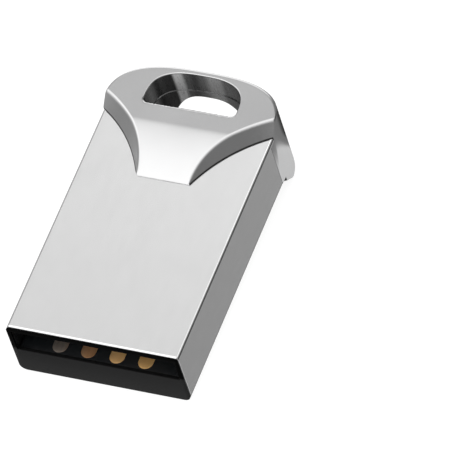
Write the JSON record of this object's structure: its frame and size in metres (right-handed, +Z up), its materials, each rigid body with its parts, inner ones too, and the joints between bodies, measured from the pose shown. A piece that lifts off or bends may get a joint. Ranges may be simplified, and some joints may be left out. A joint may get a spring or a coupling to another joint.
{
  "type": "usb flash drive",
  "caption": "Capless flash drive: a bare steel USB-A plug shell with a chip module inside, and a cast metal end cap with tongues and a D-shaped key hole.",
  "frame": {"origin": "bottom centre of the bounding box: midway between the plug's mouth and the key loop's back, midway across the width, level with the underside of the end cap", "axes": "+X across the width, to the right when looking into the plug's mouth with the contacts facing up; +Y from the plug's mouth towards the key loop, the long way; +Z up, the way the contacts face"},
  "size_m": [0.012, 0.0216, 0.0063],
  "materials": {
    "shell_steel": "satin",
    "cap_zinc": "satin",
    "carrier_plastic": "satin",
    "board_mask": "satin",
    "contact_gold": "satin",
    "mold_epoxy": "matte",
    "silicon": "polished",
    "attach_film": "matte",
    "crystal_can": "satin",
    "chip_ceramic": "satin",
    "resistor_body": "satin",
    "tape": "matte",
    "adhesive": "satin"
  },
  "bodies": {
    "root": {"outer_shell": "shell_steel", "tail_cap": "cap_zinc", "chip_carrier": "carrier_plastic", "substrate_board": "board_mask", "contact_ground": "contact_gold", "contact_data_plus": "contact_gold", "contact_data_minus": "contact_gold", "contact_vbus": "contact_gold", "mold_cover": "mold_epoxy", "controller_die": "silicon", "controller_attach_film": "attach_film", "flash_die_lower": "silicon", "flash_die_upper": "silicon", "flash_attach_film_lower": "attach_film", "flash_attach_film_upper": "attach_film", "crystal": "crystal_can", "crystal_capacitor_left": "chip_ceramic", "crystal_capacitor_right": "chip_ceramic", "capacitor_vbus": "chip_ceramic", "capacitor_core": "chip_ceramic", "capacitor_flash": "chip_ceramic", "resistor_data_minus": "resistor_body", "resistor_data_plus": "resistor_body", "resistor_reference": "resistor_body", "module_tape": "tape", "cap_adhesive": "adhesive"}
  },
  "joints": []
}
